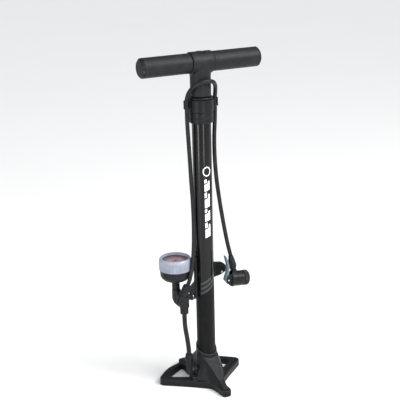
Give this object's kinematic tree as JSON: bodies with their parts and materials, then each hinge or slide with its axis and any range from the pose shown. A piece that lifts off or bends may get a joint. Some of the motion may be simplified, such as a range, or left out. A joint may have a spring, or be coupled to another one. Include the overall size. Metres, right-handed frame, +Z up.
{
  "type": "floor bike pump",
  "caption": "Upright floor bicycle pump: slim barrel on a splayed foot, T handle on a sliding rod, side-mounted pressure gauge and a looped hose with a lever head.",
  "frame": {"origin": "on the floor plane, on the barrel's axis", "axes": "+Z up along the barrel; +X along the right half of the handle; -Y is the side the long prong of the foot points to"},
  "size_m": [0.216, 0.1557, 0.5858],
  "materials": {
    "foot_plastic": "matt, fine grain",
    "black_plastic": "matt",
    "grip_plastic": "matt, soft sheen",
    "hose_rubber": "satin",
    "seal_rubber": "matt",
    "barrel_paint": "gloss black with a printed film",
    "bezel_plastic": "satin, fine upright ribs",
    "lever_plastic": "satin",
    "dial_card": "printed, matt",
    "needle_red": "matt",
    "clear_plastic": "clear, polished",
    "chrome": "polished",
    "steel": "zinc plated",
    "brass": "machined"
  },
  "bodies": {
    "frame": {"base_foot": "foot_plastic", "check_valve_seat": "brass", "check_valve_spring": "steel", "barrel_gasket": "seal_rubber", "barrel": "barrel_paint", "outlet_elbow": "black_plastic", "outlet_nut": "black_plastic", "lower_hose_nut": "black_plastic", "lower_hose": "hose_rubber", "tee_block": "black_plastic", "tee_lower_nut": "black_plastic", "tee_upper_nut": "black_plastic", "barrel_bracket": "black_plastic", "ear_rivet": "steel", "tee_screw": "steel", "gauge_case": "black_plastic", "gauge_stem": "brass", "gauge_bourdon_tube": "brass", "gauge_bezel": "bezel_plastic", "gauge_lens": "clear_plastic", "gauge_dial": "dial_card", "top_cap": "black_plastic", "hose_collar": "black_plastic", "rod_bush": "brass", "rod_wiper": "seal_rubber", "hose": "hose_rubber", "head_ferrule": "black_plastic", "head_body": "black_plastic", "head_collar": "black_plastic", "head_seal": "seal_rubber", "head_lever_pin": "steel"},
    "piston": {"piston": "black_plastic", "piston_cup_seal": "seal_rubber"},
    "handle": {"piston_rod": "chrome", "piston_nut": "steel", "rod_buffer": "seal_rubber", "handle_hub": "grip_plastic", "handle_tube": "steel", "grip_left": "grip_plastic", "grip_right": "grip_plastic", "grip_end_cap_left": "grip_plastic", "grip_end_cap_right": "grip_plastic", "rod_top_nut": "steel", "hub_plug": "grip_plastic"},
    "needle": {"gauge_needle": "needle_red", "gauge_arbor": "steel"},
    "poppet": {"check_valve_poppet": "seal_rubber"},
    "lever": {"head_lever": "lever_plastic"},
    "plunger": {"head_plunger": "black_plastic"}
  },
  "joints": [
    {"name": "pump_stroke", "type": "slide", "parent": "frame", "child": "piston", "axis": [0, 0, 1], "range_m": [0, 0.4]},
    {"name": "handle_spin", "type": "hinge", "parent": "piston", "child": "handle", "pos_m": [0, 0, 0.5676], "axis": [0, 0, 1], "continuous": true},
    {"name": "needle_turn", "type": "hinge", "parent": "frame", "child": "needle", "pos_m": [-0.048, 0.016, 0.2296], "axis": [0, 0, -1], "range_deg": [0, 270], "stiffness_Nm_per_rad": 0.0004},
    {"name": "check_valve_lift", "type": "slide", "parent": "frame", "child": "poppet", "axis": [0, 0, -1], "range_m": [0, 0.002], "stiffness_N_per_m": 100, "deforming": ["check_valve_spring"]},
    {"name": "lever_flip", "type": "hinge", "parent": "frame", "child": "lever", "pos_m": [0.029, -0.026, 0.195], "axis": [0, -1, 0], "range_deg": [0, 90]},
    {"name": "plunger_slide", "type": "slide", "parent": "frame", "child": "plunger", "axis": [0.9945, 0, -0.1045], "range_m": [0, 0.0025]}
  ],
  "couplings": [
    {"joint": "plunger_slide", "follows": "lever_flip", "m_per_rad": 0.00159}
  ]
}
